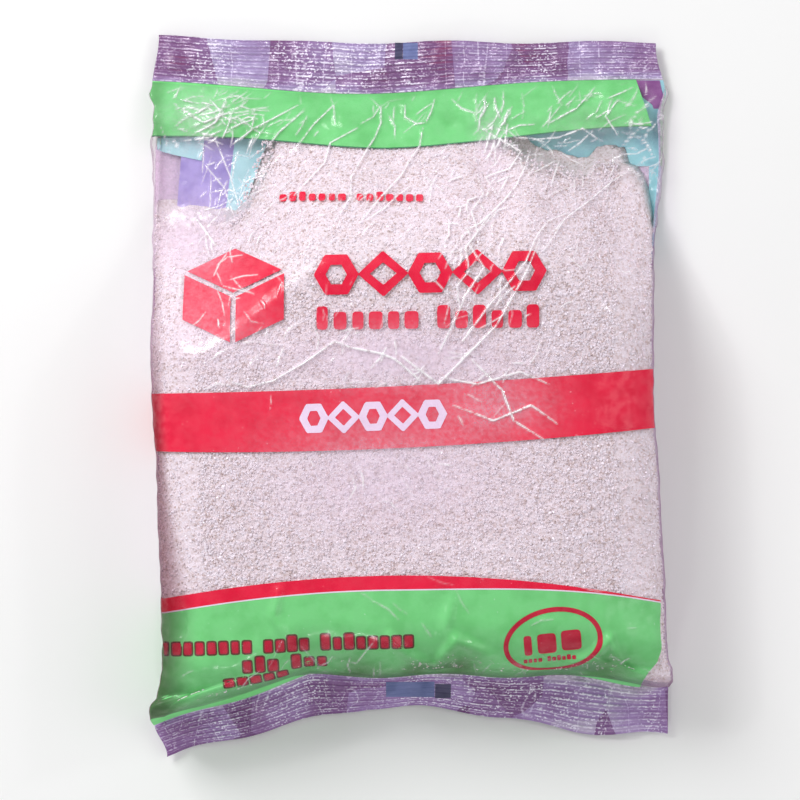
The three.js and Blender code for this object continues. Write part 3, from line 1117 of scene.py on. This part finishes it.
def make_small_print():
    upper, lower = INK_DEPTH, INK_DEPTH + INK_STEP
    small = tile_row(-44.3, 66.2, (7, 7), 3.3, 2.5, -0.01, 5)
    add_shapes("small_line", bar_grids(small, exponent=4.0), lower, RED)
    add_shapes("cube", cube_grids(-58.5, 33.2, 20.5), lower, RED)
    title = crystal_row(-24.5, 39.8, 5, 15.4, 7.4, 7.6, 3.9, 0.02)
    add_shapes("title_shapes", title, lower, RED)
    subtitle = tile_row(-32.0, 24.6, (6, 6), 5.85, 5.8, 0.01, 11)
    add_shapes("subtitle", bar_grids(subtitle, exponent=5.0), lower, RED)
    middle = crystal_row(-31.8, -7.3, 5, 9.7, 4.9, 5.5, 2.7, 0.035)
    add_shapes("white_shapes", middle, upper, WHITE)
    foot = tile_row(-83.0, -83.6, (8, 4, 8), 3.9, 4.2, 0.035, 3)
    foot += tile_row(-55.8, -89.4, (3, 3), 4.2, 4.2, 0.03, 8)
    foot += tile_row(-62.0, -95.4, (5,), 4.4, 3.0, 0.12, 14)
    add_shapes("foot_edges", bar_grids(foot, 0.40), lower, DARK)
    add_shapes("foot_tiles", bar_grids(foot, -0.15), upper, DEEP_RED)
    ring = turned(ring_grid(15.6, 10.8, 1.6), 0.2, 46.6, -81.0)
    weight = [(38.4, -82.4, 0.1, 2.6, 7.0), (44.6, -81.6, 0.1, 6.2, 7.0), (52.6, -80.4, 0.1, 6.6, 7.0)]
    weight += tile_row(37.0, -88.2, (4, 6), 1.62, 1.5, 0.1, 21)
    add_shapes("ring", [ring] + bar_grids(weight), upper, DEEP_RED)


def back_head_line(x):
    return 81.2 - 3.5 * ramp((x - 10) / 60) + 3.6 * ramp((-x - 66) / 18)


def make_back_print():
    """The back's fields of colour, each with its outside and its paler inside."""
    # (name, section place where it ends, lower line, upper line, outside, inside)
    fields = (
        ("head", 0.98, back_head_line, raised(top_root, -0.3), GREEN, TEAL),
        ("band", 0.80, band_bottom_line, band_top_line, RED, WHITE),
        ("foot", 0.80, raised(bottom_root, 0.3), field_top_line, GREEN, TEAL),
    )
    columns, rows = BACK_COLUMNS - 1, 30
    faces = grid_faces(rows, columns)
    for name, end, low_line, high_line, outside, inside in fields:
        t, up = even_grid(columns, rows, (-1, end))
        x = t * RIGHT_HALF_WIDTH
        y = mix(low_line(x), high_line(x), up)
        outer, inner = (back_point(t, y, depth) for depth in (BACK_OUTSIDE, BACK_INSIDE))
        add_piece("back_print_" + name, outer, faces[:, ::-1], outside)
        add_piece("back_print_inside_" + name, inner, faces, inside)


def make_head_strips():
    """The back's print and folded sides, as seen from inside through the empty head's corners."""
    rise = 0.2               # share of the way to the front film that the left strips rise
    # (name, material, height over the back film, corners)
    strips = (
        ("lit_teal", LIT_TEAL, BACK_STRIPS, ((-60.2, 62.0), (-55.0, 62.0), (-47.0, 87.0), (-57.3, 87.0))),
        ("purple", PURPLE, BACK_STRIPS, ((-75.5, 62.0), (-60.2, 62.0), (-57.3, 87.0), (-73.5, 87.0))),
        ("left_teal", LIT_TEAL, 0.9, ((-86.0, 83.5), (-67.5, 79.5), (-66.5, 87.5), (-86.0, 87.0))),
        ("right_teal", TEAL, BACK_STRIPS, ((78.0, 46.0), (83.5, 46.0), (85.5, 97.0), (77.0, 97.0))),
        ("right_plum", PLUM, BACK_STRIPS, ((79.0, 97.0), (86.0, 96.0), (84.0, 106.5), (74.5, 106.5))),
    )
    for name, material, lift, corners in strips:
        x, y, faces = quad_grid(corners)
        t = place_for(x, y)
        points = back_point(t, y, lift)
        if x.max() < 0:
            front, _ = front_point(t, y, 0.0)
            points[..., 2] = mix(points[..., 2], front[..., 2], rise)
        add_piece("back_inside_" + name, points, faces, material)


def make_eye_marks():
    """The plain registration marks in the middle of both seals."""
    marks = (
        ("top_dark", -5.3, -2.7, 113.6, 119.2, TOP_SEAL, SLATE),
        ("top_blue", -2.6, 2.4, 113.6, 119.2, TOP_SEAL, BLUE),
        ("bottom_blue", -8.3, 8.0, -101.2, -95.8, BOTTOM_SEAL, BLUE),
        ("bottom_dark", 8.2, 13.5, -101.6, -96.6, BOTTOM_SEAL, SLATE),
    )
    for name, left, right, low, high, seal, material in marks:
        edge, root, height, seed = seal
        corners = ((left, low), (right, low), (right, high), (left, high))
        x, y, faces = quad_grid(corners, MARK_STEP)
        share = (y - root(x)) / (edge(x) - root(x))
        z = seal_middle(x, share, height, seed)[0] + FILM_THICKNESS
        points = np.stack([x, y, z], axis=-1)
        add_piece("eye_mark_" + name, points, faces, material)


# ---- sugar
CORE_COLUMNS = 190
CORE_ROWS = 250
SLOPE_LENGTH = 9.0       # the sugar falls from the front film to the back one over this length
CORE_BACK_DEPTH = 0.6    # the core lies this far inside the back film
CORE_RIM = 0.4           # its thickness at the slope's lower end
GRAIN_RELIEF = 0.16      # spread of the grain's height


def sugar_share(x, y):
    """1 where the sugar fills the bag up to the front film, falling to 0 over its upper slope."""
    return ramp((sugar_end(x) + SLOPE_LENGTH / 2 - y) / SLOPE_LENGTH)


def make_sugar_core():
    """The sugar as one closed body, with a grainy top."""
    rng = np.random.default_rng(SEED + 5)
    t, share = even_grid(CORE_COLUMNS, CORE_ROWS, up=(0.012, 1))
    x = t * RIGHT_HALF_WIDTH
    y = mix(bottom_root(x) + 0.6, sugar_end(x) + SLOPE_LENGTH / 2, share)
    front, _ = front_point(t * LAST_PLACE, y, CORE_DEPTH)
    back = back_point(t * LAST_PLACE, y, CORE_BACK_DEPTH)
    filled = sugar_share(front[..., 0], y)
    relief = rng.normal(0, GRAIN_RELIEF, t.shape) * filled**2
    front[..., 2] = mix(back[..., 2] + CORE_RIM, front[..., 2] + relief, filled)
    ring = np.concatenate([front, back[:, -2:0:-1]], axis=1)
    rows, columns = ring.shape[:2]
    index = np.arange((rows - 1) * columns).reshape(rows - 1, columns)
    start, after = index.ravel(), np.roll(index, -1, axis=1).ravel()
    # Each end is closed by a strip between its front and back edges.
    over = np.arange(CORE_COLUMNS)
    below = (columns - over) % columns
    below[-1] = over[-1]
    cap = np.concatenate([
        np.stack([over[:-1], below[:-1], over[1:]], axis=1),
        np.stack([over[1:], below[:-1], below[1:]], axis=1),
    ])
    cap = cap[(cap[:, 0] != cap[:, 1]) & (cap[:, 1] != cap[:, 2])]
    faces = np.concatenate([
        np.stack([start, after, after + columns], axis=1),
        np.stack([start, after + columns, start + columns], axis=1),
        cap,
        cap[:, ::-1] + (rows - 1) * columns,
    ])
    # Painted shade: how much the core's colour is greyed near the sugar's upper slope.
    shade = 1 - sugar_share(ring[..., 0], ring[..., 1] + 0.6 * SLOPE_LENGTH)
    add_piece("sugar_core", ring, faces, CORE, values={"shade": shade})


CRYSTAL_HALVES = (0.19, 0.33)     # half a crystal's mean size, from least to most
CRYSTAL_STRETCH = (0.75, 1.25)    # and how each side differs from it
CRYSTAL_CLEARANCE = 3.2           # the crystals start this far above the bottom seal's root
BOX = np.array([(x, y, z) for z in (-1, 1) for y in (-1, 1) for x in (-1, 1)], dtype=float)
BOX_FACES = np.array([(0, 2, 3, 1), (4, 5, 7, 6), (0, 1, 5, 4), (2, 6, 7, 3), (0, 4, 6, 2), (1, 3, 7, 5)])


def random_turns(rng, count):
    """Evenly spread random rotation matrices, from random unit quaternions."""
    q = rng.normal(size=(count, 4))
    q /= np.linalg.norm(q, axis=1)[:, None]
    w, x, y, z = q.T
    rows = [
        [1 - 2 * (y * y + z * z), 2 * (x * y - z * w), 2 * (x * z + y * w)],
        [2 * (x * y + z * w), 1 - 2 * (x * x + z * z), 2 * (y * z - x * w)],
        [2 * (x * z - y * w), 2 * (y * z + x * w), 1 - 2 * (x * x + y * y)],
    ]
    return np.moveaxis(np.array(rows), -1, 0)


def make_crystals(name, material, count, seed):
    """Loose sugar crystals at true size, lying on the core just under the front film."""
    rng = np.random.default_rng(seed)
    t = rng.uniform(-0.99, 0.99, count)
    x = t * RIGHT_HALF_WIDTH
    reach = sugar_end(x) - 4.5 * rng.uniform(0, 1, count) ** 2
    y = mix(bottom_root(x) + CRYSTAL_CLEARANCE, reach, rng.uniform(0, 1, count))
    centre, _ = front_point(t, y, GRAIN_DEPTH + rng.uniform(0.0, 0.35, count))
    half = rng.uniform(*CRYSTAL_HALVES, (count, 1, 1)) * rng.uniform(*CRYSTAL_STRETCH, (count, 1, 3))
    local = (BOX[None] * half) @ random_turns(rng, count)
    points = local + centre[:, None, :]
    faces = BOX_FACES[None] + (np.arange(count) * 8)[:, None, None]
    tone = rng.uniform(0, 1, count).repeat(8)
    values = {"tone": tone}
    add_piece(name, points, faces.reshape(-1, 4), material, smooth=False, values=values)


# ---- stage
CAMERA_HEIGHT = 1.5      # metres, as everything on the stage
MIDDLE_HEIGHT = 0.02
VIEW_WIDTH = 0.2667      # how much the picture takes in, across, at the bag's middle height
VIEW_X = -0.0033
VIEW_Y = -0.0014


def make_camera():
    data = bpy.data.cameras.new("camera")
    data.sensor_width = 36.0
    data.lens = data.sensor_width * (CAMERA_HEIGHT - MIDDLE_HEIGHT) / VIEW_WIDTH
    bpy.context.scene.camera = add_object("camera", data, (VIEW_X, VIEW_Y, CAMERA_HEIGHT))


# Lights, aimed at the frame's origin: (name, place, size, power).
LIGHTS = (
    ("key_light", (-0.58, 0.58, 0.75), 0.45, 6.6),
    ("fill_light", (0.80, -0.10, 0.80), 0.70, 1.4),
    ("sparkle_light_left", (-0.50, 0.30, 0.62), 0.05, 0.45),
    ("sparkle_light_right", (0.62, 0.30, 0.55), 0.05, 0.45),
    ("sparkle_light_foot", (-0.10, -0.70, 0.50), 0.05, 0.45),
)


def make_stage():
    side = 3.0
    corners = [(-side, -side, 0), (side, -side, 0), (side, side, 0), (-side, side, 0)]
    mesh = bpy.data.meshes.new("floor")
    mesh.from_pydata(corners, [], [(0, 1, 2, 3)])
    mesh.materials.append(pale_floor())
    add_object("floor", mesh)
    for name, place, size, power in LIGHTS:
        data = bpy.data.lights.new(name, "AREA")
        data.size = size
        data.energy = power
        light = add_object(name, data, place)
        light.rotation_mode = "QUATERNION"
        light.rotation_quaternion = (-light.location).to_track_quat("-Z", "Y")
    make_world()
    bpy.context.scene.view_settings.view_transform = "Standard"


def make_world():
    """A soft white room, palest at the horizon and towards the bag's top, and dimmer overhead."""
    g = Graph(bpy.data.worlds.new("soft_room"), "Generated")
    towards = g.add("ShaderNodeSeparateXYZ", {0: g.place}).outputs
    overhead = g.between(towards["Z"], 0.0, 1.0, 0.93, 0.38)
    lean = g.between(towards["Y"], -1.0, 1.0, 0.68, 1.12)
    inputs = {"Color": (1.0, 1.0, 1.0, 1.0), "Strength": g.times(overhead, lean)}
    light = g.add("ShaderNodeBackground", inputs).outputs[0]
    bpy.context.scene.world = g.close(light, "ShaderNodeOutputWorld")


# ---- the whole
make_camera()
make_front_film()
make_back_film()
make_seal("seal_top", *TOP_SEAL, TOP_GLINT_PATCHES, True, SEAL_LIT)
make_seal("seal_bottom", *BOTTOM_SEAL, BOTTOM_GLINT_PATCHES, False, SEAL_SHADED)
make_fields()
make_small_print()
make_back_print()
make_head_strips()
make_eye_marks()
make_sugar_core()
for number, (kind, material, count) in enumerate(CRYSTALS):
    make_crystals(kind, material, count, SEED + 20 + number)
make_stage()
